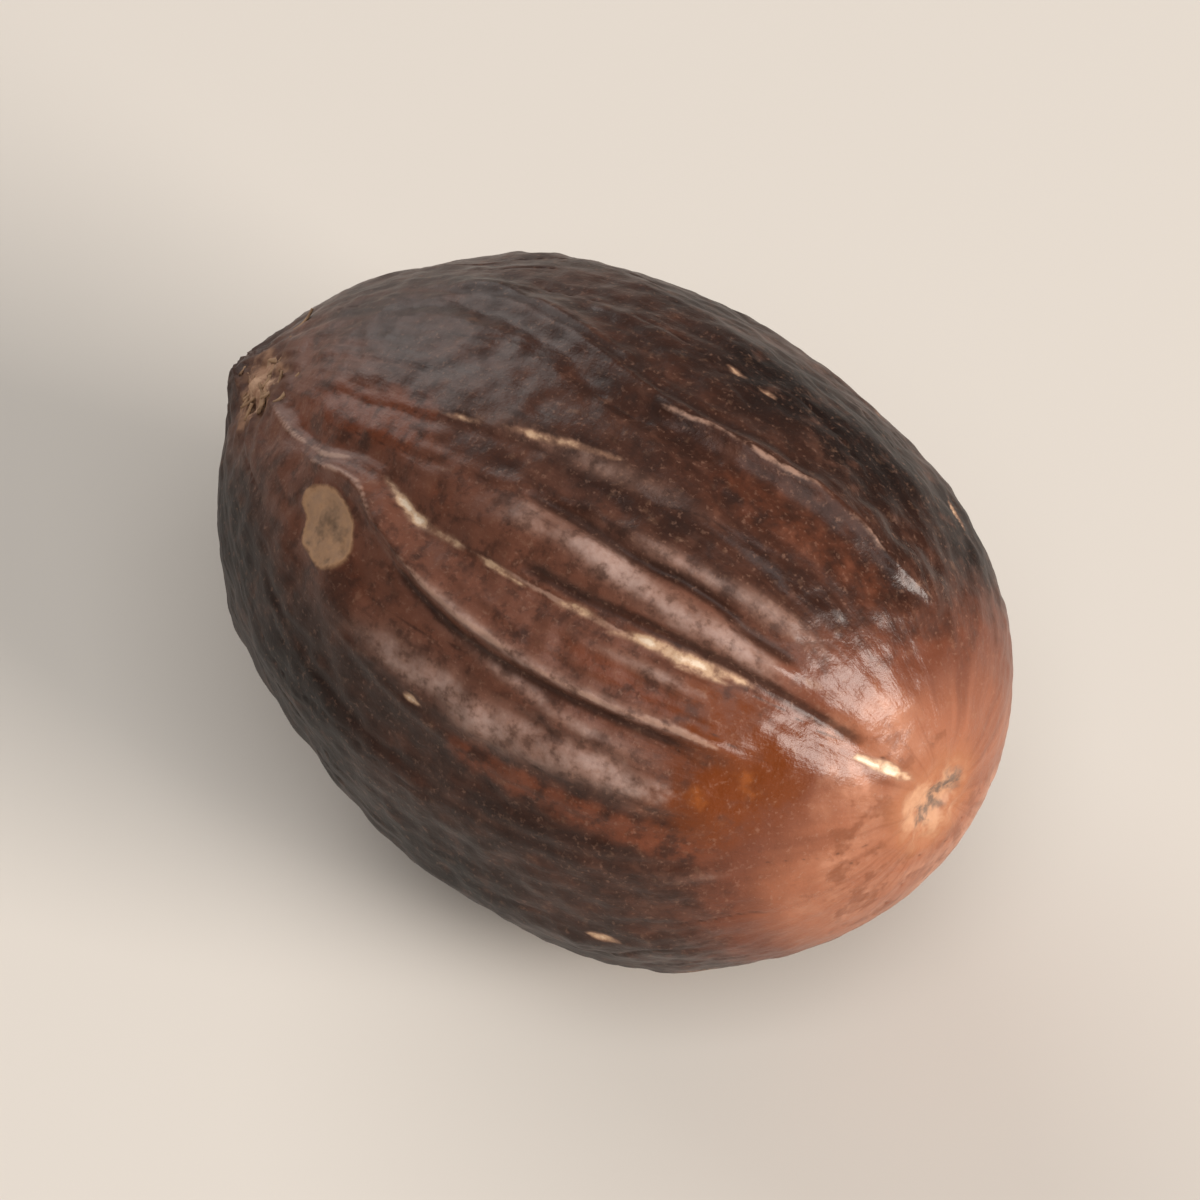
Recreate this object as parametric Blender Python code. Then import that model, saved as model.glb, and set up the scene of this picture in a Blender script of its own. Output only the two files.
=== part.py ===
"""A whole nutmeg in its shell, lying on its side. Metres, +Z up.

The shell is an egg along X. It is drawn out to the hilum at -X, the scar where the seed hung
in its fruit, and it is fuller at the chalaza, the small pit at +X. A seam, the raphe, runs
between them along one flank. Low ribs run lengthwise, where the strands of mace pressed into
the shell while it was soft. The origin is on the surface that the nutmeg lies on, under the
middle of its box, and the shell is flat on a small spot there.

Places on the shell are given as (x, angle): x is the distance along the axis from the egg's
middle, and angle is measured round the axis from straight up towards -Y, in degrees.
"""

import math

import bmesh
import bpy
import numpy as np
from mathutils import Vector, noise

MM = 0.001

# The egg.
HALF_LENGTH = 14.1 * MM
HALF_WIDTH = 10.4 * MM
HALF_HEIGHT = 10.3 * MM
CHALAZA_FULLNESS = 0.044  # share by which the egg is wider towards the chalaza
END_FULLNESS = 0.045  # share by which both ends are blunter than an ellipse
HILUM_DRAW = 0.55 * MM  # how far the hilum end is drawn out
DRAW_FROM = 0.6  # share of the half length where the drawing out starts
HILUM_BEND = 0.7 * MM  # how far the hilum end leans sideways
BEND_ANGLE = -55

# The hilum's stub and the chalaza's pit: angle off the end of the axis, angle round the axis,
# height (a pit's is negative) and radius.
HILUM_STUB = (17, 32, 0.66 * MM, 1.15 * MM)
CHALAZA_PIT = (9, 36, -0.32 * MM, 1.15 * MM)

# The raphe, a shallow trough.
RAPHE_DEPTH = 0.26 * MM
RAPHE_WIDTH = 0.60 * MM
RAPHE_PATH = ((-11.0, 31), (-8.3, 36), (-5.0, 33.5), (-3.0, 37), (5.0, 36.5), (9.0, 34), (13.4, 36))

# Ribs and troughs beside the raphe: height, half width and path.
FRONT_RIBS = (
    (0.30, 0.75, ((-1.5, 30), (2.0, 27.5), (6.0, 28), (11.0, 28))),
    (-0.20, 0.50, ((-0.5, 23), (2.0, 23), (4.2, 24), (6.9, 24), (10.5, 22.5))),
    (0.16, 0.50, ((2.5, 21.5), (5.0, 20.5), (7.2, 19), (10.5, 18.5))),
    (0.26, 0.55, ((-8.5, 40), (-6.5, 38), (-4.7, 39.5), (-3.0, 43.5), (0.2, 48), (3.1, 49), (10.5, 48))),
    (-0.15, 0.45, ((-3.0, 48), (0.2, 51.5), (3.1, 52.5), (10.5, 51.5))),
    (0.26, 1.05, ((-6.5, 56), (-1.9, 62), (2.7, 63), (10.5, 62))),
    (0.15, 0.70, ((-5.0, 14), (-1.8, 13), (1.3, 7), (4.0, 5))),
    (-0.18, 0.60, ((-8.5, -10), (-3.2, -6), (0.9, 0), (3.7, -1), (7.2, -4), (11.0, -8))),
    (0.24, 0.65, ((-9.0, -18), (-3.2, -11), (0.9, -5), (3.7, -6), (7.2, -10), (12.0, -19))),
)

# Ribs round the rest of the shell: spaced evenly by angle, each one then wandering.
BACK_RIB_COUNT = 11
BACK_RIBS_FROM = 84
BACK_RIBS_TO = 322
BACK_RIB_HEIGHT = 0.15
BACK_RIB_WIDTH = 0.95
BACK_RIB_REACH = 10.0  # how far the ribs run each way from the middle
BACK_RIB_KNOTS = 7
WANDER = 9  # degrees
WANDER_BENDS = 1.3  # steps of the noise over half a rib
WANDER_APART = 2.7  # steps of the noise between two ribs

RIB_FADE = 2.0 * MM  # length over which a rib rises at each end

# Broad swells and hollows: x, angle, height and reach.
SWELLS = (
    (-10.5, 124, 0.45, 2.6),
    (-6.0, 124, -0.48, 3.2),
    (6.0, 124, 0.24, 4.0),
    (-6.5, -56, 0.24, 3.6),
    (5.0, -56, -0.36, 4.6),
    (8.5, 44, 0.18, 3.2),
)
UNEVENNESS = 0.14 * MM
UNEVENNESS_SIZE = 8.0 * MM

REST_DEPTH = 0.27 * MM  # how much of the underside is flattened
GRID = 26  # faces along each side of the cube that the shell is rounded from

SHELL_BROWN = (0.102, 0.045, 0.026, 1)  # linear
SHELL_ROUGHNESS = 0.34


def rounded_cube(grid):
    """A cube cut into a grid, with its points spread evenly over the unit sphere."""
    shell = bmesh.new()
    bmesh.ops.create_cube(shell, size=2)
    bmesh.ops.subdivide_edges(shell, edges=shell.edges[:], cuts=grid - 1, use_grid_fill=True)
    for vert in shell.verts:
        spread = [math.tan(value * math.pi / 4) for value in vert.co]
        vert.co = Vector(spread).normalized()
    bmesh.ops.recalc_face_normals(shell, faces=shell.faces[:])
    return shell


def turned(angle):
    """The unit vector across the axis at an angle round it, in degrees."""
    radians = math.radians(angle)
    return np.array([0.0, -math.sin(radians), math.cos(radians)])


def egg(aims):
    """Where each unit vector from the middle meets the egg."""
    along = aims[:, 0]
    fullness = 1 + CHALAZA_FULLNESS * along + END_FULLNESS * along**2
    drawn = np.clip((-along - DRAW_FROM) / (1 - DRAW_FROM), 0, 1) ** 2
    points = aims * (HALF_LENGTH, HALF_WIDTH, HALF_HEIGHT)
    points[:, 1:] *= fullness[:, None]
    points[:, 0] -= HILUM_DRAW * drawn
    lean = HILUM_BEND * np.clip(-along, 0, 1) ** 2
    return points + lean[:, None] * turned(BEND_ANGLE)


def egg_point(x, angle):
    """The point of the egg at a place on the shell."""
    along = x * MM / HALF_LENGTH
    aim = turned(angle) * math.sqrt(1 - along**2)
    aim[0] = along
    return egg(aim[None, :])[0]


def path_angle(path, x):
    """The angle of a path at each x, on a smooth curve through its points."""
    knots = np.array(path, float)
    places = knots[:, 0] * MM
    angles = knots[:, 1]
    slopes = np.gradient(angles, places)
    x = np.clip(x, places[0], places[-1])
    span = np.clip(np.searchsorted(places, x) - 1, 0, len(places) - 2)
    length = places[span + 1] - places[span]
    share = (x - places[span]) / length
    near = (1 + 2 * share) * (1 - share) ** 2
    far = share**2 * (3 - 2 * share)
    leaving = share * (1 - share) ** 2 * length * slopes[span]
    arriving = share**2 * (1 - share) * length * slopes[span + 1]
    return near * angles[span] + far * angles[span + 1] + leaving - arriving


def rib(aims, height, width, path):
    """The height that a rib adds to each point. A trough's height is negative."""
    x = aims[:, 0] * HALF_LENGTH
    angle = np.degrees(np.arctan2(-aims[:, 1], aims[:, 2]))
    turn = (angle - path_angle(path, x) + 180) % 360 - 180
    radius = HALF_WIDTH * np.hypot(aims[:, 1], aims[:, 2])
    aside = radius * np.radians(turn)
    inside = np.minimum(x - path[0][0] * MM, path[-1][0] * MM - x)
    rise = np.clip(inside / RIB_FADE, 0, 1)
    return height * rise**2 * (3 - 2 * rise) * np.exp(-((aside / width) ** 2))


def back_rib_path(index):
    """The path of one of the ribs round the rest of the shell."""
    angle = BACK_RIBS_FROM + (BACK_RIBS_TO - BACK_RIBS_FROM) * index / (BACK_RIB_COUNT - 1)
    path = []
    for knot in range(BACK_RIB_KNOTS):
        share = 2 * knot / (BACK_RIB_KNOTS - 1) - 1
        wander = WANDER * noise.noise(Vector((WANDER_BENDS * share, WANDER_APART * index, 0.5)))
        path.append((BACK_RIB_REACH * share, angle + wander))
    return path


def end_mark(aims, end, off_axis, angle, height, radius):
    """A low round stub or pit near one end: end is -1 for the hilum and 1 for the chalaza."""
    tilt = math.radians(off_axis)
    centre = turned(angle) * math.sin(tilt)
    centre[0] = end * math.cos(tilt)
    apart = np.linalg.norm(aims - centre, axis=1) * HALF_WIDTH
    return height * np.exp(-((apart / radius) ** 2))


def relief(aims, points):
    """How far the shell stands out from the egg at each point."""
    height = end_mark(aims, -1, *HILUM_STUB) + end_mark(aims, 1, *CHALAZA_PIT)
    height += rib(aims, -RAPHE_DEPTH, RAPHE_WIDTH, RAPHE_PATH)
    for rise, width, path in FRONT_RIBS:
        height += rib(aims, rise * MM, width * MM, path)
    for index in range(BACK_RIB_COUNT):
        height += rib(aims, BACK_RIB_HEIGHT * MM, BACK_RIB_WIDTH * MM, back_rib_path(index))
    for x, angle, rise, reach in SWELLS:
        apart = np.linalg.norm(points - egg_point(x, angle), axis=1)
        height += rise * MM * np.exp(-((apart / (reach * MM)) ** 2))
    uneven = [noise.noise(Vector(point) / UNEVENNESS_SIZE) for point in points]
    return height + UNEVENNESS * np.array(uneven)


def shell_points(aims):
    """The shell's points, lying on z = 0 with the middle of their box over the origin."""
    points = egg(aims)
    outward = points / np.square((HALF_LENGTH, HALF_WIDTH, HALF_HEIGHT))
    outward /= np.linalg.norm(outward, axis=1)[:, None]
    points += outward * relief(aims, points)[:, None]
    floor = points[:, 2].min() + REST_DEPTH
    points[:, 2] = np.maximum(points[:, 2], floor)
    low = points.min(axis=0)
    middle = (low + points.max(axis=0)) / 2
    return points - (middle[0], middle[1], low[2])


def shell_material():
    material = bpy.data.materials.new("nutmeg_shell")
    material.use_nodes = True
    finish = material.node_tree.nodes["Principled BSDF"]
    finish.inputs["Base Color"].default_value = SHELL_BROWN
    finish.inputs["Roughness"].default_value = SHELL_ROUGHNESS
    finish.inputs["Metallic"].default_value = 0
    return material


def make_nutmeg():
    shell = rounded_cube(GRID)
    points = shell_points(np.array([vert.co for vert in shell.verts]))
    for vert, point in zip(shell.verts, points):
        vert.co = point
    mesh = bpy.data.meshes.new("nutmeg")
    shell.to_mesh(mesh)
    shell.free()
    mesh.shade_smooth()
    mesh.materials.append(shell_material())
    nutmeg = bpy.data.objects.new("nutmeg", mesh)
    bpy.context.scene.collection.objects.link(nutmeg)


for old in list(bpy.data.objects):
    bpy.data.objects.remove(old)
make_nutmeg()
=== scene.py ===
"""The looks of a whole nutmeg in its shell: the shell's relief, marks and colours, the torn
stalk fibres at its hilum, and the floor, lights and camera.

Lengths on the shell are in millimetres until a mesh is made. Places on it are (x, angle): x is
the distance along the axis from the egg's middle, positive towards the chalaza, and angle is
measured round the axis from straight up towards -Y, in degrees.
"""

import math
import random

import bmesh
import bpy
import numpy as np
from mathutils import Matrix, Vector, noise


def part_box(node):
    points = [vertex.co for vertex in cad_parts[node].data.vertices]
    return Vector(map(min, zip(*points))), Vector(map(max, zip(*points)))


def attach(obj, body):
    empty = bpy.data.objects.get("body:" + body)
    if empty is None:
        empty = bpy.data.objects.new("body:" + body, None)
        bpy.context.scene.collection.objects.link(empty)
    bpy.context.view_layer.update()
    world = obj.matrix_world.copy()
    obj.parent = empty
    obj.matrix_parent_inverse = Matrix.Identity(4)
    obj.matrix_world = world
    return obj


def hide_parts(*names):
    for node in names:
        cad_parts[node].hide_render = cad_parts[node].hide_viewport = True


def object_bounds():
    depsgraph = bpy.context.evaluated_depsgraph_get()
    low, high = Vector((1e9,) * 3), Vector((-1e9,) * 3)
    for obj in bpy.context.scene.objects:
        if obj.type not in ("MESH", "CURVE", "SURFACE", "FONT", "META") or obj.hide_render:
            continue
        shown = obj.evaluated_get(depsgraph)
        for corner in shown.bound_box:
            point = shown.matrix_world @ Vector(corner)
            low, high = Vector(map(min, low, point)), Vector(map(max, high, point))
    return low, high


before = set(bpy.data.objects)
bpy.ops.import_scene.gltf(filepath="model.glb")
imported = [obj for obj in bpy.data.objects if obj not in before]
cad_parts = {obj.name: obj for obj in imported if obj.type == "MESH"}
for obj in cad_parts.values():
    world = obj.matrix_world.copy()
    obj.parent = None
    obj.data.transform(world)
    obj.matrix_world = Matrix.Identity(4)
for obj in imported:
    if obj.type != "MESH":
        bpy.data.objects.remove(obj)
cad_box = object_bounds()

MM = 0.001

# The egg, the size of the solid's.
HALF_LENGTH = 14.1
HALF_WIDTH = 10.4
HALF_HEIGHT = 10.3
CHALAZA_FULLNESS = 0.044
END_FULLNESS = 0.045
HILUM_DRAW = 0.55
DRAW_FROM = 0.6
HILUM_BEND = 0.7
BEND_ANGLE = -55
REST_DEPTH = 0.27
GRID = 127  # faces along each side of the cube that the shell is rounded from

# Marks near the ends: which end, angle off the axis, angle round it, height and radius.
HILUM_STUB = (-1, 17, 32, 0.60, 1.15)
HILUM_REACH = (-1, 17, 32, 1.0, 3.6)
STUB_PATCH = (-1, 31, 33, 1.0, 1.8)
CHALAZA_PIT = (1, 9, 36, -0.32, 1.15)
PIT_CORE = ((1, 8.5, 14, 1.0, 0.55), (1, 9.0, 36, 1.0, 0.62), (1, 10.5, 56, 1.0, 0.55))
PIT_PATCH = (1, 10.0, 44, 1.0, 1.55)

# The raphe, then the main ribs and troughs, as on the solid: height, half width and path.
RAPHE_PATH = ((-11.0, 31), (-8.3, 36), (-5.0, 33.5), (-3.0, 37), (5.0, 36.5), (9.0, 34), (13.4, 36))
MAIN_RIBS = (
    (-0.26, 0.60, RAPHE_PATH),
    (0.30, 0.75, ((-1.5, 30), (2.0, 27.5), (6.0, 28), (11.0, 28))),
    (-0.20, 0.50, ((-0.5, 23), (2.0, 23), (4.2, 24), (6.9, 24), (10.5, 22.5))),
    (0.16, 0.50, ((2.5, 21.5), (5.0, 20.5), (7.2, 19), (10.5, 18.5))),
    (0.26, 0.55, ((-8.5, 40), (-6.5, 38), (-4.7, 39.5), (-3.0, 43.5), (0.2, 48), (3.1, 49), (10.5, 48))),
    (-0.15, 0.45, ((-3.0, 48), (0.2, 51.5), (3.1, 52.5), (10.5, 51.5))),
    (0.26, 1.05, ((-6.5, 56), (-1.9, 62), (2.7, 63), (10.5, 62))),
    (0.15, 0.70, ((-5.0, 14), (-1.8, 13), (1.3, 7), (4.0, 5))),
    (-0.18, 0.60, ((-8.5, -10), (-3.2, -6), (0.9, 0), (3.7, -1), (7.2, -4), (11.0, -8))),
    (0.24, 0.65, ((-9.0, -18), (-3.2, -11), (0.9, -5), (3.7, -6), (7.2, -10), (12.0, -19))),
)
RIB_FADE = 2.0

BACK_RIB_COUNT = 11
BACK_RIBS_FROM = 84
BACK_RIBS_TO = 322
BACK_RIB_HEIGHT = 0.15
BACK_RIB_WIDTH = 0.95
BACK_RIB_REACH = 10.0
BACK_RIB_KNOTS = 7
WANDER = 9
WANDER_BENDS = 1.3
WANDER_APART = 2.7

# Broad swells and hollows: x, angle, height and reach.
SWELLS = (
    (-10.5, 124, 0.45, 2.6),
    (-6.0, 124, -0.48, 3.2),
    (6.0, 124, 0.24, 4.0),
    (-6.5, -56, 0.24, 3.6),
    (5.0, -56, -0.36, 4.6),
    (8.5, 44, 0.18, 3.2),
)
UNEVENNESS = 0.14
UNEVENNESS_SIZE = 8.0

# Sharp folds and creases over the main ribs.
SEAM_UPPER = ((-11.4, 33), (-9.6, 37), (-8.2, 37), (-7.4, 36.5), (-6.6, 34.5), (-5.8, 33.5), (-4.4, 33.5))
SEAM_LOWER = ((-9.0, 39), (-7.4, 39), (-6.7, 38), (-5.9, 37.3), (-5.2, 38), (-4.7, 40), (-3.3, 43),
              (-1.2, 46.5), (0.2, 47.8), (1.6, 48.4), (3.8, 49.2), (6.3, 48.6), (7.4, 47.8), (9.6, 48))
SEAM_MIDDLE = ((-2.6, 37), (0.2, 37.4), (3.0, 37.2), (5.4, 36.4), (8.0, 35))
SEAM_TOP = ((0.9, -3), (2.4, -3.6), (3.2, -5), (4.2, -5.5), (6.0, -7.2), (7.1, -9.3), (8.2, -10.5),
            (10.3, -12.5), (11.6, -19))
CREASE_HIGH = ((-0.5, 24), (1.5, 23.4), (4.2, 24), (5.6, 23), (6.9, 23), (8.2, 24.5), (10.2, 24))
CREASE_MIDDLE = ((0.4, 35), (1.4, 34.7), (3.7, 34.4), (5.1, 33.4), (6.7, 32.8), (8.7, 32), (12.6, 32))
CREASE_LOW = ((-3.4, 46), (-1.8, 48.5), (0.2, 51), (3.1, 51.8), (6.0, 51.2), (8.6, 50.5))
CREASE_TOP = ((-8.6, -12), (-6.4, -14), (-3.2, -11), (-0.9, -8.5), (0.9, -6.5), (3.7, -8), (7.2, -12.5))
FOLDS = (
    (0.10, 0.17, SEAM_UPPER),
    (0.12, 0.17, SEAM_LOWER),
    (0.10, 0.18, SEAM_TOP),
    (-0.13, 0.20, CREASE_HIGH),
    (-0.15, 0.18, CREASE_MIDDLE),
    (-0.12, 0.22, CREASE_LOW),
    (-0.11, 0.22, CREASE_TOP),
    (0.06, 0.16, ((-2.0, 41), (0.5, 43.5), (3.0, 45), (6.0, 44.5), (9.4, 43))),
    (0.07, 0.26, ((4.6, 41.4), (6.2, 40.4), (8.8, 40))),
    (0.08, 0.26, ((0.2, 53), (2.0, 53.5), (3.6, 55), (7.0, 56.5))),
    (-0.10, 0.20, ((1.5, 58.5), (4.0, 58.8), (7.5, 59))),
    (-0.07, 0.18, ((-7.4, 42.5), (-5.6, 41), (-4.6, 42.5), (-2.8, 47), (-1.2, 51))),
    (0.07, 0.20, ((-7.0, 28), (-4.5, 26), (-1.5, 24), (2.0, 21), (5.0, 20))),
    (-0.06, 0.22, ((-10.0, 26), (-7.0, 23), (-4.0, 20), (0.0, 15), (4.0, 13), (8.0, 12))),
    (0.06, 0.20, ((-4.6, 62), (-1.0, 68), (3.0, 70.5), (7.0, 70), (10.0, 67))),
    (-0.06, 0.24, ((-8.5, 66), (-4.0, 76), (1.0, 81), (6.0, 81), (10.5, 76))),
)
FOLD_FADE = 1.2

# The fine furrows that the mace leaves, and the fibres of the coat.
FURROWS = 17
FURROW_WANDER = 2.6
FURROW_DEPTH = 0.05
FURROW_LINE = 0.13  # how near to its middle a furrow reaches, as a share of the wave
FIBRE_HEIGHT = 0.026
FIBRE_ALONG = 2.6
FIBRE_ROUND = 0.55
COCKLE_HEIGHT = 0.085  # small uneven dents left as the coat dried
COCKLE_SIZE = 1.1
TIP_SMOOTHNESS = 0.55  # how much of the fine relief the chalaza end has lost
PUCKERS = 15  # folds round the stub
PUCKER_HEIGHT = 0.07
STUB_ROUGHNESS = 0.34
STUB_GRAIN = 0.70
PIT_ROUGHNESS = 0.24

# Pale scuffs where the dark skin is worn off: half width, path and strength.
SCUFFS = (
    (0.24, ((-5.0, 33.8), (-4.3, 35.2), (-3.4, 36.9), (-2.3, 37.2), (-0.9, 37.5)), 1.0),
    (0.13, ((-0.8, 37.2), (0.2, 37.5), (1.5, 38)), 0.8),
    (0.20, ((2.5, 37.8), (3.3, 36.8), (4.5, 37)), 0.8),
    (0.25, ((4.4, 37.8), (5.6, 35.9), (6.9, 35.2), (8.0, 34.2), (9.1, 33.2)), 1.0),
    (0.14, ((6.8, 37.2), (7.7, 36.2), (8.4, 35.6)), 0.8),
    (0.19, ((-2.2, 15.6), (-0.6, 13.8), (0.6, 12.0), (1.9, 10)), 0.72),
    (0.12, ((-5.0, 19.0), (-2.4, 16.2)), 0.5),
    (0.20, ((12.1, 36.4), (12.6, 35.6), (13.5, 34)), 1.3),
    (0.15, ((1.7, -22.3), (2.7, -22)), 0.8),
    (0.12, ((3.1, -21.6), (3.9, -22)), 0.7),
    (0.14, ((-1.0, 66), (-0.2, 66.2)), 0.8),
    (0.20, ((6.1, 106), (7.2, 107)), 1.0),
    (0.14, ((10.0, 26), (10.6, 25.6)), 0.8),
)
SCUFF_DEPTH = 0.03
BACK_SCUFFS = 16
BACK_SCUFF_SEED = 5

# The oval scar by the hilum: place, half length, half width and slant to the axis.
SCAR_AT = (-5.9, 48.5)
SCAR_LENGTH = 1.36
SCAR_WIDTH = 1.02
SCAR_SLANT = 25
SCAR_UNEVENNESS = 0.3
SCAR_RIM = 0.06
SCAR_HOLLOW = 0.05

# Where the orange of the chalaza end begins, as x against the angle round the shell, and the
# length over which it comes in.
ORANGE_BLEND = 5.6
# From about -60 to 0 degrees, over the upper right, the orange begins nearer the end, keeping that edge
# darker: painted shade.
ORANGE_FROM = ((-180, 11.4), (-120, 11.8), (-60, 12.6), (-20, 12.8), (0, 12.2), (18, 10.7), (30, 10.4),
               (42, 10.5), (66, 10.6), (93, 10.6), (124, 10.8), (180, 11.4))

# Places where the coat is redder amber, or painted darker: x, angle, reach and strength.
AMBER_PLACES = ((8.6, 44, 1.8, 0.75), (10.0, 51, 2.0, 0.9), (9.2, 60, 2.0, 0.8), (10.8, 41, 1.3, 0.6))
DARK_AND_SHADED_PLACES = (
    (-4.4, 54, 1.5, 0.42),
    (-7.6, 46, 1.5, 0.35),
    # From here on the dark places, over the upper right and the underside, are painted shade; the two above,
    # by the scar, are the coat's own darker red-brown.
    (-1.1, -43, 3.4, 0.6),
    (3.6, -32, 3.4, 0.9),
    (6.6, -34, 3.6, 0.9),
    (9.8, -50, 3.4, 0.8),
    (-10.4, 84, 4.6, 0.9),
    (-6.0, 96, 5.2, 0.9),
    (0.0, 112, 5.0, 0.8),
    (5.0, 124, 4.0, 0.6),
)

# Where the coat is polished, and not dull with dust: x, angle, reach and strength.
POLISHED_PLACES = ((11.8, 25, 4.0, 1.0), (11.5, 72, 3.6, 1.0), (10.5, -18, 3.0, 0.7))

# Bare russet patches, and ribs painted paler and greyer than the coat, partly as wear and partly as painted
# highlight: half width, path and strength.
RUSSET_STROKES = (
    (1.20, ((-10.8, 31), (-8.2, 28), (-6.5, 24.5), (-4.9, 22.6), (-3.2, 21.5)), 1.0),
    (0.90, ((-6.4, 43), (-4.4, 52), (-2.2, 57)), 0.5),
    (0.50, ((-4.0, 30), (-2.6, 32), (-1.2, 33)), 0.8),
    (0.70, ((0.0, 70), (4.5, 71), (11.0, 74)), 0.8),
    (0.50, ((2.4, 42), (6.0, 44), (9.0, 45)), 0.7),
    (0.30, ((3.2, 33.4), (5.0, 33), (7.5, 32)), 0.7),
    (1.60, ((3.0, 4), (7.0, 1), (12.0, -4)), 0.4),
    (1.20, ((-6.0, 160), (0.0, 155), (7.0, 158)), 0.8),
    (0.90, ((-9.0, 232), (-2.0, 240), (3.0, 236)), 0.8),
    (1.00, ((0.0, 292), (6.0, 286), (11.0, 288)), 0.8),
)
RIB_WEAR_AND_HIGHLIGHTS = (
    # Over the front these paler ribs are painted highlight laid on wear: the second is a brighter painted
    # highlight on the same rib, and the third is a painted glint low by the chalaza end. The three round the
    # back are wear.
    (0.62, ((-2.6, 29), (2.0, 26.7), (3.7, 27.3), (5.0, 28), (7.2, 28.3), (12.0, 27.5)), 1.0),
    (0.55, ((2.0, 26.7), (3.7, 27.3), (5.0, 28), (7.2, 28.3), (10.5, 29)), 1.25),
    (0.30, ((7.4, 85), (9.0, 82), (10.2, 79), (12.2, 72)), 1.2),
    (0.42, ((0.4, 23), (5.0, 20.8), (7.2, 19), (8.6, 18.5), (13.0, 18.3)), 0.8),
    (0.30, ((-4.0, 44), (1.4, 48.4), (3.8, 49.2), (6.3, 48.6), (7.4, 47.8), (12.0, 48.2)), 0.95),
    (0.34, ((-2.4, 50.4), (2.2, 53), (3.6, 54.6), (10.0, 56)), 0.7),
    (0.80, ((-5.0, 58.5), (1.0, 61.5), (3.0, 62.5), (6.0, 61), (11.0, 63.5)), 1.0),
    (0.28, ((2.2, 42.4), (6.6, 40.2), (11.0, 40)), 0.75),
    (0.50, ((-6.5, 17), (-1.0, 14.5), (2.5, 12), (7.5, 8)), 0.45),
    (0.70, ((-9.0, 176), (0.0, 182), (9.0, 178)), 0.8),
    (0.60, ((-7.0, 214), (1.0, 209), (8.0, 214)), 0.8),
    (0.60, ((-4.0, 262), (2.0, 268), (10.0, 263)), 0.7),
)
RIB_WEAR_AND_HIGHLIGHT_FADE = 4.5

# Broad bands rubbed to a lighter brown: half width, path and strength.
RUBBED_BANDS = (
    (3.9, ((-14.0, 33), (-6.0, 38), (1.0, 42), (9.0, 42), (14.0, 40)), 1.0),
    (2.4, ((-11.0, 188), (0.0, 195), (11.0, 190)), 0.8),
    (2.0, ((-9.0, 274), (0.0, 266), (11.0, 272)), 0.7),
)
RUBBED_FADE = 2.5

# The torn ends of the stalk on the stub.
FLAPS = 26
FLAP_SEED = 11
FLAP_SPREAD = 0.065
FLAP_POINTS = 7
FLAP_SIDES = 8

# The camera, and the lights placed by it: angle from straight behind the nutmeg, clockwise from
# above, then height, width and tallness in degrees, radiance and colour.
CAMERA_AZIMUTH = 36.6
CAMERA_ELEVATION = 50
LENS_MM = 180
SENSOR_MM = 36
CAMERA_DISTANCE = 0.196
LIGHT_DISTANCE = 0.9
LIGHTS = (
    ("window_softbox", -31, 27, 46, 36, 3.6, "#fbf6f2"),
    ("front_softbox", 172, 62, 40, 34, 2.9, "#ffffff"),
    ("right_softbox", 123, 20, 27, 27, 20.5, "#fff6ee"),
)
FILL_LIGHT = 0.12
BACKDROP_TONE = 0.72
FLOOR_SIDE = 1.4


# ---- the form of the shell ----


def rounded_cube(grid):
    """A cube cut into a grid, with its points spread evenly over the unit sphere."""
    shell = bmesh.new()
    bmesh.ops.create_cube(shell, size=2)
    bmesh.ops.subdivide_edges(shell, edges=shell.edges[:], cuts=grid - 1, use_grid_fill=True)
    for vert in shell.verts:
        spread = [math.tan(value * math.pi / 4) for value in vert.co]
        vert.co = Vector(spread).normalized()
    bmesh.ops.recalc_face_normals(shell, faces=shell.faces[:])
    return shell


def turned(angle):
    """The unit vector across the axis at an angle round it, in degrees."""
    radians = math.radians(angle)
    return np.array([0.0, -math.sin(radians), math.cos(radians)])


def egg(aims):
    """Where each unit vector from the middle meets the egg."""
    along = aims[:, 0]
    fullness = 1 + CHALAZA_FULLNESS * along + END_FULLNESS * along**2
    drawn = np.clip((-along - DRAW_FROM) / (1 - DRAW_FROM), 0, 1) ** 2
    points = aims * (HALF_LENGTH, HALF_WIDTH, HALF_HEIGHT)
    points[:, 1:] *= fullness[:, None]
    points[:, 0] -= HILUM_DRAW * drawn
    lean = HILUM_BEND * np.clip(-along, 0, 1) ** 2
    return points + lean[:, None] * turned(BEND_ANGLE)


def aim_at(x, angle):
    """The unit vector from the middle towards a place on the shell."""
    along = x / HALF_LENGTH
    aim = turned(angle) * math.sqrt(1 - along**2)
    aim[0] = along
    return aim


def aim_at_end(end, off_axis, angle):
    """The unit vector towards a mark near one end."""
    aim = turned(angle) * math.sin(math.radians(off_axis))
    aim[0] = end * math.cos(math.radians(off_axis))
    return aim


def smooth(share):
    share = np.clip(share, 0, 1)
    return share**2 * (3 - 2 * share)


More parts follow.
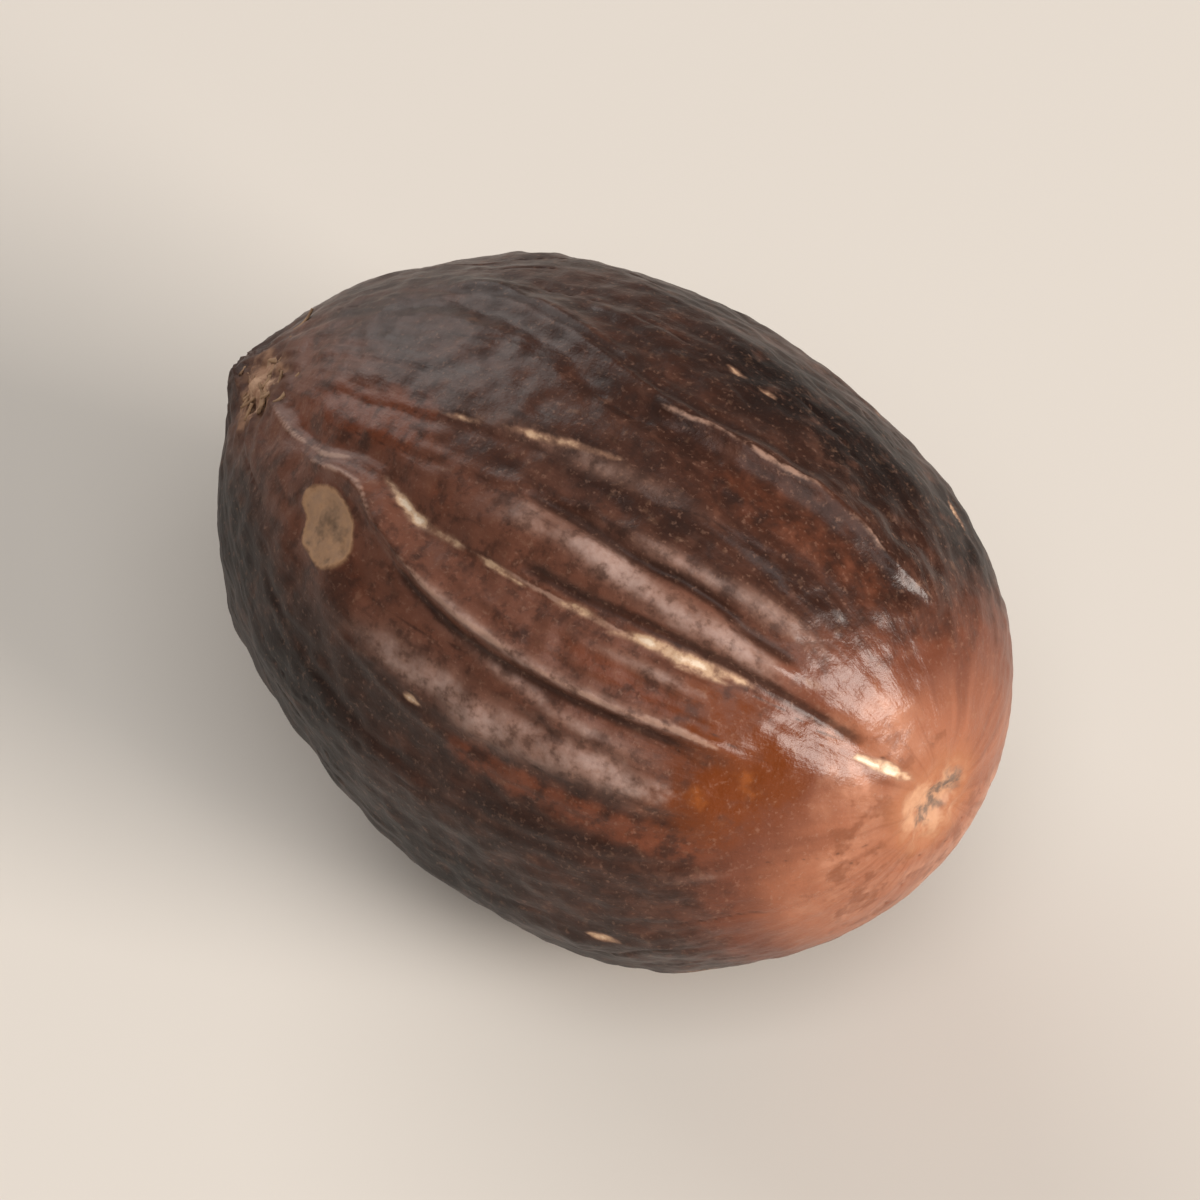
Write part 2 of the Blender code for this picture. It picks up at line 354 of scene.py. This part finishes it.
class Lay:
    """Where each point of the shell lies."""

    def __init__(self, aims):
        self.aims = aims
        self.points = egg(aims)
        self.x = aims[:, 0] * HALF_LENGTH
        self.angle = np.degrees(np.arctan2(-aims[:, 1], aims[:, 2]))
        self.girth = HALF_WIDTH * np.hypot(aims[:, 1], aims[:, 2])
        self.grain = self.grain_angle()
        self.unrolled = np.stack(
            [self.x, HALF_WIDTH * np.sin(self.grain), HALF_WIDTH * np.cos(self.grain)], axis=1
        )

    def grain_angle(self):
        """The angle, in radians, of the fibre through each point. Fibres run from stub to pit."""
        across = self.aims.copy()
        across[:, 0] = 0
        for end, off_axis, angle, *_ in (HILUM_STUB, CHALAZA_PIT):
            aim = aim_at_end(end, off_axis, angle)
            share = np.clip(self.aims[:, 0] / aim[0], 0, None) ** 2
            across -= share[:, None] * aim * (0, 1, 1)
        return np.arctan2(-across[:, 1], across[:, 2])

    def noise(self, along, around, shift=0.0, octaves=1):
        """Noise drawn out along the fibres: its grain along and around the shell, in mm."""
        places = self.unrolled / (along, around, around) + shift
        if octaves == 1:
            return np.array([noise.noise(Vector(place)) for place in places])
        return np.array([noise.fractal(Vector(place), 0.8, 2.1, octaves) for place in places])

    def lumps(self, size, shift=0.0):
        """Noise with the same grain each way."""
        return np.array([noise.noise(Vector(place)) for place in self.points / size + shift])


def path_angle(path, x):
    """The angle of a path at each x, on a smooth curve through its points."""
    places, angles = np.array(path, float).T
    slopes = np.gradient(angles, places)
    x = np.clip(x, places[0], places[-1])
    span = np.clip(np.searchsorted(places, x) - 1, 0, len(places) - 2)
    length = places[span + 1] - places[span]
    share = (x - places[span]) / length
    near = (1 + 2 * share) * (1 - share) ** 2
    far = share**2 * (3 - 2 * share)
    leaving = share * (1 - share) ** 2 * length * slopes[span]
    arriving = share**2 * (1 - share) * length * slopes[span + 1]
    return near * angles[span] + far * angles[span + 1] + leaving - arriving


def stroke(lay, width, path, fade):
    """A line drawn along a path: 1 on it, a half at its half width, and fading at both ends."""
    turn = (lay.angle - path_angle(path, lay.x) + 180) % 360 - 180
    aside = lay.girth * np.radians(turn)
    inside = np.minimum(lay.x - path[0][0], path[-1][0] - lay.x)
    return smooth(inside / fade) * np.exp(-((aside / width) ** 2))


def scratch(lay, width, path):
    """A line drawn along a path, narrowing to a point at both ends."""
    turn = (lay.angle - path_angle(path, lay.x) + 180) % 360 - 180
    aside = lay.girth * np.radians(turn)
    start, end = path[0][0], path[-1][0]
    inside = np.clip(np.minimum(lay.x - start, end - lay.x) * 2 / (end - start), 0, 1)
    return inside**0.25 * np.exp(-((aside / (width * (0.55 + 0.45 * inside))) ** 2))


def strongest(covers):
    return np.maximum.reduce(list(covers))


def spot(lay, x, angle, reach):
    """A soft round spot."""
    centre = egg(aim_at(x, angle)[None, :])[0]
    apart = np.linalg.norm(lay.points - centre, axis=1)
    return np.exp(-((apart / reach) ** 2))


def end_mark(lay, end, off_axis, angle, height, radius):
    """A round mark near one end."""
    apart = np.linalg.norm(lay.aims - aim_at_end(end, off_axis, angle), axis=1) * HALF_WIDTH
    return height * np.exp(-((apart / radius) ** 2))


def back_rib_path(index):
    """The path of one of the ribs round the rest of the shell."""
    angle = BACK_RIBS_FROM + (BACK_RIBS_TO - BACK_RIBS_FROM) * index / (BACK_RIB_COUNT - 1)
    path = []
    for knot in range(BACK_RIB_KNOTS):
        share = 2 * knot / (BACK_RIB_KNOTS - 1) - 1
        wander = WANDER * noise.noise(Vector((WANDER_BENDS * share, WANDER_APART * index, 0.5)))
        path.append((BACK_RIB_REACH * share, angle + wander))
    return path


def scar_cover(lay):
    """The oval scar: 1 inside it, fading over its edge."""
    x, angle = SCAR_AT
    turn = (lay.angle - angle + 180) % 360 - 180
    along = lay.x - x
    around = lay.girth * np.radians(turn)
    slant = math.radians(SCAR_SLANT)
    lengthwise = along * math.cos(slant) + around * math.sin(slant)
    across = around * math.cos(slant) - along * math.sin(slant)
    apart = np.hypot(lengthwise / SCAR_LENGTH, across / SCAR_WIDTH)
    apart += SCAR_UNEVENNESS * lay.lumps(0.8, 3.3)
    return smooth((1.2 - apart) / 0.4)


def back_scuffs():
    """Scuffs on the sides away from the raphe, along the fibres."""
    pick = random.Random(BACK_SCUFF_SEED)
    scuffs = []
    for _ in range(BACK_SCUFFS):
        x = pick.uniform(-9, 9)
        angle = pick.uniform(125, 335)
        length = pick.uniform(0.5, 2.6)
        bend = pick.uniform(-2, 2)
        scuffs.append((pick.uniform(0.10, 0.24), ((x, angle), (x + length, angle + bend)), 0.85))
    return scuffs


def main_relief(lay):
    """The ribs, ends and swells that the solid has too."""
    height = end_mark(lay, *HILUM_STUB) + end_mark(lay, *CHALAZA_PIT)
    for rise, width, path in MAIN_RIBS:
        height += rise * stroke(lay, width, path, RIB_FADE)
    for index in range(BACK_RIB_COUNT):
        height += BACK_RIB_HEIGHT * stroke(lay, BACK_RIB_WIDTH, back_rib_path(index), RIB_FADE)
    for x, angle, rise, reach in SWELLS:
        height += rise * spot(lay, x, angle, reach)
    return height + UNEVENNESS * lay.lumps(UNEVENNESS_SIZE)


def fine_relief(lay, marks):
    """Folds, furrows and fibres, and the roughness of the stub, scar and scuffs."""
    height = np.zeros(len(lay.x))
    for rise, width, path in FOLDS:
        height += rise * stroke(lay, width, path, FOLD_FADE)
    height -= FURROW_DEPTH * marks["furrow"]
    fine = FIBRE_HEIGHT * lay.noise(FIBRE_ALONG, FIBRE_ROUND, 3.1, 3)
    fine += COCKLE_HEIGHT * (lay.lumps(COCKLE_SIZE, 8.3) + 0.5 * lay.lumps(COCKLE_SIZE / 2, 6.1))
    height += fine * (1 - TIP_SMOOTHNESS * marks["orange"])
    pucker = np.sin(PUCKERS * lay.grain + 2.6 * lay.noise(3.0, 2.4, 7.7))
    height += PUCKER_HEIGHT * pucker * end_mark(lay, *HILUM_REACH)
    crumbs = lay.lumps(STUB_GRAIN, 5.2) + 0.5 * lay.lumps(STUB_GRAIN / 2.2, 1.7)
    height += STUB_ROUGHNESS * crumbs * marks["stub"]
    height += PIT_ROUGHNESS * (lay.lumps(0.7, 2.5) + 0.5 * lay.lumps(0.35, 4.4)) * marks["pit"]
    height += SCAR_RIM * smooth(marks["scar"] / 0.5) - SCAR_HOLLOW * smooth((marks["scar"] - 0.5) / 0.5)
    return height - SCUFF_DEPTH * smooth((marks["scuff"] - 0.35) / 0.3)


def shell_marks(lay):
    """How strongly each mark covers each point, from 0 to 1. The coat's colours read these."""
    wave = np.sin(FURROWS * lay.grain + FURROW_WANDER * lay.noise(6.0, 5.0, 0.3, 2))
    furrow = smooth(1 - np.abs(wave) / FURROW_LINE) * smooth(0.35 + 1.6 * lay.noise(4.0, 2.5, 9.1))
    scuffs = (*SCUFFS, *back_scuffs())
    scuff = strongest(strength * scratch(lay, width, path) for width, path, strength in scuffs)
    seams = ((0.12, SEAM_UPPER), (0.11, SEAM_LOWER), (0.08, SEAM_MIDDLE), (0.10, SEAM_TOP))
    seam = strongest(stroke(lay, width, path, FOLD_FADE) for width, path in seams)
    creases = (CREASE_HIGH, CREASE_MIDDLE, CREASE_LOW, CREASE_TOP)
    orange_from = np.interp(lay.angle, *np.array(ORANGE_FROM, float).T)
    marks = {
        "furrow": furrow,
        "scuff": scuff * (1.05 + 0.9 * lay.noise(0.9, 0.4, 6.6)),
        "seam": seam * (0.95 + 1.1 * lay.noise(1.6, 1.2, 2.2)),
        "crease": strongest(stroke(lay, 0.24, path, FOLD_FADE) for path in creases),
        "scar": scar_cover(lay),
        "stub": end_mark(lay, *STUB_PATCH),
        "pit": end_mark(lay, *PIT_PATCH),
        "pit_core": strongest(end_mark(lay, *place) for place in PIT_CORE),
        "orange": smooth((lay.x - orange_from) / ORANGE_BLEND + 0.5),
    }
    for name, strokes, fade in (
        ("rubbed", RUBBED_BANDS, RUBBED_FADE),
        ("russet", RUSSET_STROKES, RIB_FADE),
        ("wear_and_highlight", RIB_WEAR_AND_HIGHLIGHTS, RIB_WEAR_AND_HIGHLIGHT_FADE),
    ):
        marks[name] = strongest(
            strength * stroke(lay, width, path, fade) for width, path, strength in strokes
        )
    marks["wear_and_highlight"] *= 0.95 + 0.55 * lay.noise(2.4, 0.9, 4.9, 2)
    for name, places in (("amber", AMBER_PLACES), ("dark", DARK_AND_SHADED_PLACES), ("polish", POLISHED_PLACES)):
        marks[name] = strongest(
            strength * spot(lay, x, angle, reach) for x, angle, reach, strength in places
        )
    return marks


def outward(points):
    """The egg's outward normal at each point."""
    normals = points / np.square((HALF_LENGTH, HALF_WIDTH, HALF_HEIGHT))
    return normals / np.linalg.norm(normals, axis=1)[:, None]


def settled(points):
    """The points flattened where they rest, and set in the place that the solid has."""
    points[:, 2] = np.maximum(points[:, 2], points[:, 2].min() + REST_DEPTH)
    low, high = (np.array(corner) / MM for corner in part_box("nutmeg"))
    middle = (points.min(axis=0) + points.max(axis=0)) / 2
    shift = (low + high) / 2 - middle
    shift[2] = low[2] - points[:, 2].min()
    return points + shift, shift


# ---- materials ----


def colour(hex_value):
    """An sRGB hex value as the linear colour that a shader takes."""
    channels = [int(hex_value[start:start + 2], 16) / 255 for start in (1, 3, 5)]
    linear = [c / 12.92 if c <= 0.04045 else ((c + 0.055) / 1.055) ** 2.4 for c in channels]
    return (*linear, 1.0)


def add(tree, kind, inputs, **settings):
    """Adds a node: its settings, and for each input a value or the output that feeds it."""
    made = tree.nodes.new(kind)
    for name, value in settings.items():
        setattr(made, name, value)
    for socket, value in inputs.items():
        if isinstance(value, bpy.types.NodeSocket):
            tree.links.new(value, made.inputs[socket])
        else:
            made.inputs[socket].default_value = value
    return made


def new_material(name):
    """A material with only a Principled shader and its output."""
    material = bpy.data.materials.new(name)
    material.use_nodes = True
    return material, material.node_tree, material.node_tree.nodes["Principled BSDF"]


def dried_seed_coat():
    """The nutmeg's seed coat: a thin woody shell dried to a hard satin gloss. Its fibres run
    from hilum to chalaza, so colour and gloss are streaked lengthwise; the chalaza end has lost
    its dark skin and is orange-brown, and deep scuffs show pale wood. Ribs are painted paler and
    greyer, as wear and as painted highlight; furrows and creases are painted darker as shade, and
    the upper right and the underside are painted dark as shade."""
    material, tree, shader = new_material("dried_seed_coat")
    lay = add(tree, "ShaderNodeAttribute", {}, attribute_name="lay").outputs["Vector"]
    grains = {}
    for name, stretch, size_mm, detail in (
        ("streaks", 0.2, 0.9, 5),
        ("strands", 0.12, 0.34, 3),
        ("clouds", 0.6, 4.5, 3),
        ("ticks", 3.6, 1.3, 3),
    ):
        scaled = add(tree, "ShaderNodeVectorMath", {0: lay, 1: (stretch, 1, 1)}, operation="MULTIPLY")
        grains[name] = add(
            tree,
            "ShaderNodeTexNoise",
            {"Vector": scaled.outputs[0], "Scale": 1 / size_mm, "Detail": detail, "Roughness": 0.6},
        ).outputs["Fac"]
    place = add(tree, "ShaderNodeTexCoord", {}).outputs["Object"]
    for name, size_mm, detail in (
        ("blotches", 2.2, 4),
        ("mottle", 0.85, 3),
        ("flecks", 0.45, 3),
        ("specks", 0.18, 2),
    ):
        grains[name] = add(
            tree,
            "ShaderNodeTexNoise",
            {"Vector": place, "Scale": 1 / (size_mm * MM), "Detail": detail, "Roughness": 0.6},
        ).outputs["Fac"]

    def cover(source, start, end, most=1.0, ragged=None, raggedness=0.0):
        """How much of a layer shows: a mark or grain between two levels, the mark broken by a grain."""
        value = source
        if isinstance(source, str):
            value = add(tree, "ShaderNodeAttribute", {}, attribute_name=source).outputs["Fac"]
        if ragged:
            uneven = {0: grains[ragged], 1: raggedness, 2: 1 - raggedness / 2}
            uneven = add(tree, "ShaderNodeMath", uneven, operation="MULTIPLY_ADD").outputs[0]
            value = add(tree, "ShaderNodeMath", {0: value, 1: uneven}, operation="MULTIPLY").outputs[0]
        return add(
            tree,
            "ShaderNodeMapRange",
            {"Value": value, "From Min": start, "From Max": end, "To Max": most},
            interpolation_type="SMOOTHSTEP",
        ).outputs["Result"]

    layers = (
        ("#4a2d22", 0.42, cover(grains["streaks"], 0.38, 0.66, 0.8)),
        ("#47281c", 0.38, cover(grains["clouds"], 0.46, 0.70, 0.6)),
        ("#2c1c16", 0.46, cover(grains["blotches"], 0.52, 0.72, 0.6)),
        ("#6f4535", 0.42, cover("rubbed", 0.20, 0.80, 0.85, "streaks", 1.2)),
        ("#6d3a25", 0.38, cover("russet", 0.20, 0.80, 0.9, "mottle", 2.0)),
        ("#23120c", 0.50, cover(grains["mottle"], 0.52, 0.30, 0.55)),
        # Near-black over the dark places: the coat's own colour by the scar, painted shade over the upper
        # right and the underside.
        ("#140a07", 0.50, cover("dark", 0.15, 0.75, 0.95, "streaks", 1.0)),
        # Paler ribs: wear, with painted highlight on the front ribs.
        ("#8f6e60", 0.44, cover("wear_and_highlight", 0.10, 1.10, 0.85, "mottle", 1.4)),
        ("#2a1811", 0.50, cover(grains["flecks"], 0.50, 0.32, 0.45)),
        ("#7e5544", 0.46, cover(grains["mottle"], 0.52, 0.76, 0.25)),
        ("#3a2117", 0.46, cover(grains["strands"], 0.54, 0.78, 0.4)),
        ("#6a3b29", 0.38, cover("orange", 0.03, 0.50, 0.85, "mottle", 2.0)),
        ("#925b42", 0.36, cover("orange", 0.45, 0.95, 0.9, "clouds", 1.6)),
        ("#66300f", 0.36, cover("amber", 0.10, 0.80, 0.95, "mottle", 2.4)),
        ("#4a2412", 0.40, cover("amber", 0.70, 1.20, 0.5, "blotches", 2.4)),
        ("#9a5526", 0.34, cover("amber", 0.75, 1.25, 0.8, "blotches", 3.0)),
        ("#9f6d54", 0.36, cover("orange", 0.75, 1.15, 0.7, "blotches", 1.6)),
        ("#713e25", 0.42, cover("orange", 0.95, 1.35, 0.4, "streaks", 2.0)),
        ("#74432c", 0.42, cover("orange", 0.98, 1.35, 0.7, "mottle", 3.0)),
        ("#b9836a", 0.38, cover("orange", 1.05, 1.50, 0.6, "blotches", 3.0)),
        # Brightest parts of the paler ribs: painted highlight over wear.
        ("#ab9187", 0.42, cover("wear_and_highlight", 0.45, 1.50, 0.8, "flecks", 2.0)),
        # Darker along the furrows: painted shade.
        ("#22130d", 0.50, cover("furrow", 0.30, 0.9, 0.5, "blotches", 1.0)),
        # Darker along the creases: painted shade.
        ("#2a1710", 0.50, cover("crease", 0.20, 0.95, 0.75, "mottle", 1.8)),
        ("#9c765e", 0.50, cover(grains["flecks"], 0.58, 0.80, 0.2)),
        ("#97725f", 0.46, cover(grains["specks"], 0.56, 0.78, 0.3)),
        ("#a88674", 0.46, cover("seam", 0.30, 1.1, 0.7, "flecks", 2.4)),
        ("#8e6b56", 0.52, cover("scuff", 0.12, 0.60, 0.75, "flecks", 2.0)),
        ("#c5a384", 0.58, cover("scuff", 0.40, 0.90, 0.9, "flecks", 2.4)),
        ("#e6d2ba", 0.58, cover("scuff", 0.80, 1.40, 0.9, "flecks", 2.0)),
        ("#b58d6a", 0.55, cover("scar", 0.10, 0.80, 0.85, "flecks", 1.8)),
        ("#96775f", 0.55, cover("scar", 0.50, 1.30, 0.85, "flecks", 1.8)),
        ("#65503f", 0.60, cover("scar", 0.90, 1.60, 0.9, "mottle", 2.8)),
        ("#4e2f22", 0.75, cover("stub", 0.20, 0.60, 0.9, "mottle", 1.4)),
        ("#a07a60", 0.75, cover("stub", 0.40, 0.95, 0.85, "mottle", 2.6)),
        ("#c9a488", 0.75, cover("stub", 0.75, 1.35, 0.85, "flecks", 2.4)),
        ("#9c6544", 0.45, cover("pit", 0.06, 0.45, 0.6, "mottle", 1.4)),
        ("#bb8f70", 0.50, cover("pit", 0.35, 1.10, 0.85, "mottle", 3.6)),
        ("#5f5148", 0.60, cover("pit_core", 0.35, 1.10, 0.9, "flecks", 3.0)),
    )
    tint, gloss = colour("#301c15"), 0.34
    for hex_value, roughness, share in layers:
        tint = add(
            tree, "ShaderNodeMix", {0: share, 6: tint, 7: colour(hex_value)}, data_type="RGBA"
        ).outputs[2]
        gloss = add(tree, "ShaderNodeMix", {0: share, 2: gloss, 3: roughness}).outputs[0]
    tree.links.new(tint, shader.inputs["Base Color"])
    shader.inputs["IOR"].default_value = 1.45
    shader.inputs["Specular IOR Level"].default_value = 0.3
    polish = cover("polish", 0.0, 0.8, -0.11, "streaks", 0.3)
    gloss = add(tree, "ShaderNodeMath", {0: gloss, 1: polish}, operation="ADD").outputs[0]
    tree.links.new(gloss, shader.inputs["Roughness"])

    relief = add(
        tree, "ShaderNodeMath", {0: grains["specks"], 1: 0.6, 2: grains["flecks"]}, operation="MULTIPLY_ADD"
    ).outputs[0]
    for grain, weight in (("strands", 0.5), ("ticks", 0.2)):
        relief = add(
            tree, "ShaderNodeMath", {0: grains[grain], 1: weight, 2: relief}, operation="MULTIPLY_ADD"
        ).outputs[0]
    bump = add(tree, "ShaderNodeBump", {"Height": relief, "Distance": 0.02 * MM, "Strength": 1.0})
    tree.links.new(bump.outputs["Normal"], shader.inputs["Normal"])
    return material


def torn_stalk():
    """The dried strands of the stalk: matt tan bast, darker towards the root."""
    material, tree, shader = new_material("torn_stalk")
    place = add(tree, "ShaderNodeTexCoord", {}).outputs["Object"]
    grain = add(tree, "ShaderNodeTexNoise", {"Vector": place, "Scale": 1 / (0.35 * MM), "Detail": 4})
    tint = add(
        tree,
        "ShaderNodeMix",
        {0: grain.outputs["Fac"], 6: colour("#5a3d2b"), 7: colour("#b8936f")},
        data_type="RGBA",
    )
    tree.links.new(tint.outputs[2], shader.inputs["Base Color"])
    shader.inputs["Roughness"].default_value = 0.8
    bump = add(tree, "ShaderNodeBump", {"Height": grain.outputs["Fac"], "Distance": 0.04 * MM})
    tree.links.new(bump.outputs["Normal"], shader.inputs["Normal"])
    return material


def pale_board():
    """Matt pale-painted board for the floor."""
    material, tree, shader = new_material("pale_board")
    shader.inputs["Base Color"].default_value = colour("#d9d3cb")
    shader.inputs["Roughness"].default_value = 0.9
    shader.inputs["Specular IOR Level"].default_value = 0.2
    return material


# ---- pieces ----


def add_piece(name, mesh, material):
    """A piece that rides on the nutmeg and takes its place."""
    mesh.materials.append(material)
    mesh.shade_smooth()
    piece = bpy.data.objects.new(name, mesh)
    bpy.context.scene.collection.objects.link(piece)
    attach(piece, "root")
    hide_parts("nutmeg")
    return piece


def make_shell():
    """The shell, with its marks stored on the mesh for the coat to read."""
    shell = rounded_cube(GRID)
    lay = Lay(np.array([vert.co for vert in shell.verts]))
    marks = shell_marks(lay)
    height = main_relief(lay) + fine_relief(lay, marks)
    points, shift = settled(lay.points + outward(lay.points) * height[:, None])
    mesh = bpy.data.meshes.new("nutmeg_shell")
    shell.to_mesh(mesh)
    shell.free()
    mesh.vertices.foreach_set("co", (points * MM).ravel())
    for name, cover in marks.items():
        mesh.attributes.new(name, "FLOAT", "POINT").data.foreach_set("value", cover)
    mesh.attributes.new("lay", "FLOAT_VECTOR", "POINT").data.foreach_set("vector", lay.unrolled.ravel())
    mesh.update()
    add_piece("nutmeg_shell", mesh, dried_seed_coat())
    return shift


def strand(tuft, path, sideways, widths, thickness):
    """A flat tapering strand along a path, closed at both ends."""
    rings = []
    for index, point in enumerate(path):
        ahead = path[min(index + 1, len(path) - 1)] - path[max(index - 1, 0)]
        across = sideways.cross(ahead).normalized()
        flat = ahead.cross(across).normalized()
        ring = []
        for side in range(FLAP_SIDES):
            turn = 2 * math.pi * side / FLAP_SIDES
            offset = flat * math.cos(turn) * widths[index] + across * math.sin(turn) * thickness
            ring.append(tuft.verts.new(point + offset))
        rings.append(ring)
    for first, second in zip(rings, rings[1:]):
        for side in range(FLAP_SIDES):
            after = (side + 1) % FLAP_SIDES
            tuft.faces.new((first[side], first[after], second[after], second[side]))
    tuft.faces.new(reversed(rings[0]))
    tuft.faces.new(rings[-1])


def make_fibres(shift):
    """Torn strands that lie over the stub and stand off it a little at their tips."""
    pick = random.Random(FLAP_SEED)
    tuft = bmesh.new()
    stub = Vector(aim_at_end(*HILUM_STUB[:3]))
    patch = Vector(aim_at_end(*STUB_PATCH[:3]))
    for _ in range(FLAPS):
        aim = (patch + Vector([pick.gauss(0, FLAP_SPREAD) for _ in range(3)])).normalized()
        normal = Vector(outward(egg(np.array(aim)[None, :]))[0])
        heading = Vector([pick.uniform(-1, 1) for _ in range(3)])
        heading = (heading - normal * heading.dot(normal)).normalized()
        closeness = math.exp(-(((aim - stub).length * HALF_WIDTH / HILUM_STUB[4]) ** 2))
        root = Vector(egg(np.array(aim)[None, :])[0] + shift) + normal * (HILUM_STUB[3] * closeness - 0.02)
        length = pick.uniform(0.45, 1.1)
        curl = pick.uniform(0.05, 0.45)
        path = []
        for step in range(FLAP_POINTS):
            share = step / (FLAP_POINTS - 1)
            lift = 0.04 + curl * length * share**2 - 0.2 * length * share
            path.append((root + heading * length * share + normal * lift) * MM)
        width = pick.uniform(0.08, 0.22) * MM
        widths = [width * (1 - 0.7 * (step / (FLAP_POINTS - 1)) ** 2) for step in range(FLAP_POINTS)]
        strand(tuft, path, heading.cross(normal), widths, 0.05 * MM)
    bmesh.ops.recalc_face_normals(tuft, faces=tuft.faces[:])
    mesh = bpy.data.meshes.new("stalk_fibres")
    tuft.to_mesh(mesh)
    tuft.free()
    add_piece("stalk_fibres", mesh, torn_stalk())


# ---- floor, lights and camera ----


def make_floor():
    bpy.ops.mesh.primitive_plane_add(size=FLOOR_SIDE, location=(0, 0, cad_box[0].z))
    floor = bpy.context.object
    floor.name = "floor"
    floor.data.materials.append(pale_board())


def towards(azimuth, elevation):
    """A unit vector: azimuth 0 is from -Y, counted as the camera's is."""
    turn, rise = math.radians(azimuth), math.radians(elevation)
    return Vector((math.sin(turn) * math.cos(rise), -math.cos(turn) * math.cos(rise), math.sin(rise)))


def make_lights(middle):
    for name, angle, elevation, wide, tall, radiance, tone in LIGHTS:
        back = towards(CAMERA_AZIMUTH + 180 - angle, elevation)
        lamp = bpy.data.lights.new(name, "AREA")
        lamp.shape = "RECTANGLE"
        lamp.size = 2 * LIGHT_DISTANCE * math.tan(math.radians(wide / 2))
        lamp.size_y = 2 * LIGHT_DISTANCE * math.tan(math.radians(tall / 2))
        lamp.energy = radiance * math.pi * lamp.size * lamp.size_y
        lamp.color = colour(tone)[:3]
        light = bpy.data.objects.new(name, lamp)
        light.location = middle + back * LIGHT_DISTANCE
        light.rotation_euler = back.to_track_quat("Z", "Y").to_euler()
        light.visible_camera = False
        bpy.context.scene.collection.objects.link(light)


def make_world():
    """Even fill light, with a paler backdrop beyond the floor."""
    world = bpy.data.worlds.new("studio")
    bpy.context.scene.world = world
    world.use_nodes = True
    tree = world.node_tree
    seen = add(tree, "ShaderNodeLightPath", {}).outputs["Is Camera Ray"]
    strength = add(tree, "ShaderNodeMapRange", {"Value": seen, "To Min": FILL_LIGHT, "To Max": BACKDROP_TONE})
    tree.links.new(strength.outputs["Result"], tree.nodes["Background"].inputs["Strength"])
    tree.nodes["Background"].inputs["Color"].default_value = colour("#fdf8f2")


def make_camera(middle):
    lens = bpy.data.cameras.new("camera")
    lens.lens = LENS_MM
    lens.sensor_width = SENSOR_MM
    lens.clip_start = 0.01
    lens.clip_end = 10
    camera = bpy.data.objects.new("camera", lens)
    back = towards(CAMERA_AZIMUTH, CAMERA_ELEVATION)
    camera.location = middle + back * CAMERA_DISTANCE
    camera.rotation_euler = back.to_track_quat("Z", "Y").to_euler()
    bpy.context.scene.collection.objects.link(camera)
    bpy.context.scene.camera = camera


middle = (cad_box[0] + cad_box[1]) / 2
make_camera(middle)
make_fibres(make_shell())
make_floor()
make_lights(middle)
make_world()
bpy.context.scene.view_settings.view_transform = "Standard"
